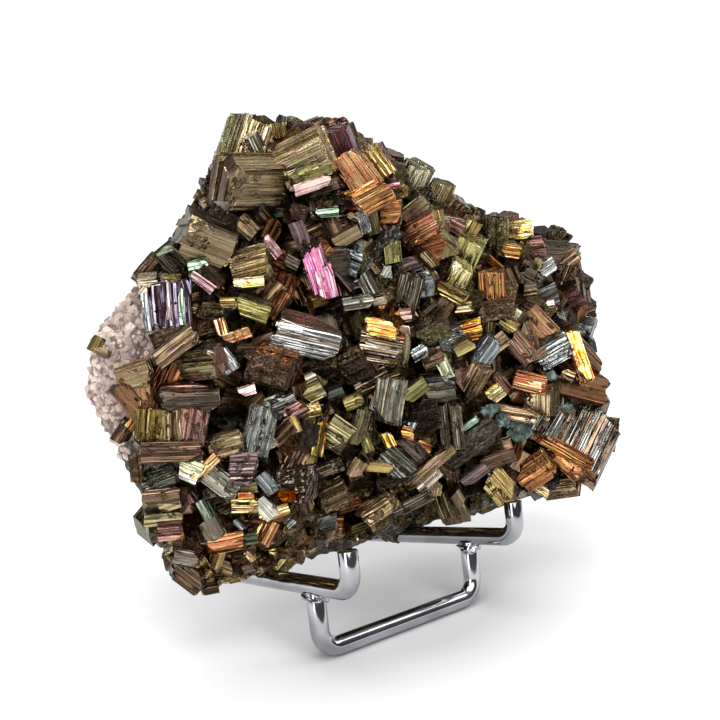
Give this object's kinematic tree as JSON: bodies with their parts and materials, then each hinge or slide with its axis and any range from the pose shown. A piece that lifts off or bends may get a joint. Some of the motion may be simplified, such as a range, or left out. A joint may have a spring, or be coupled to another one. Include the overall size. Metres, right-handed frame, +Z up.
{
  "type": "pyrite cluster on a wire easel",
  "caption": "Cluster of striated, iridescent bronze pyrite crystals with a pale druse crust on its back and left edge, leaning on a small chrome wire display easel.",
  "frame": {"origin": "on the table under the middle of the whole object's box", "axes": "+Z up; the crystal face and the easel's hooks point to -Y; the easel's uprights and the crust are at +Y; +X to the right seen from the front"},
  "size_m": [0.111, 0.0696, 0.0887],
  "materials": {
    "pyrite": "striated iridescent bronze crystal",
    "druse": "dull grainy pinkish grey crust",
    "easel_wire": "polished chrome wire"
  },
  "bodies": {
    "root": {"pyrite_cluster": "pyrite", "pale_druse": "druse", "easel_frame": "easel_wire", "easel_front_leg": "easel_wire"}
  },
  "joints": []
}
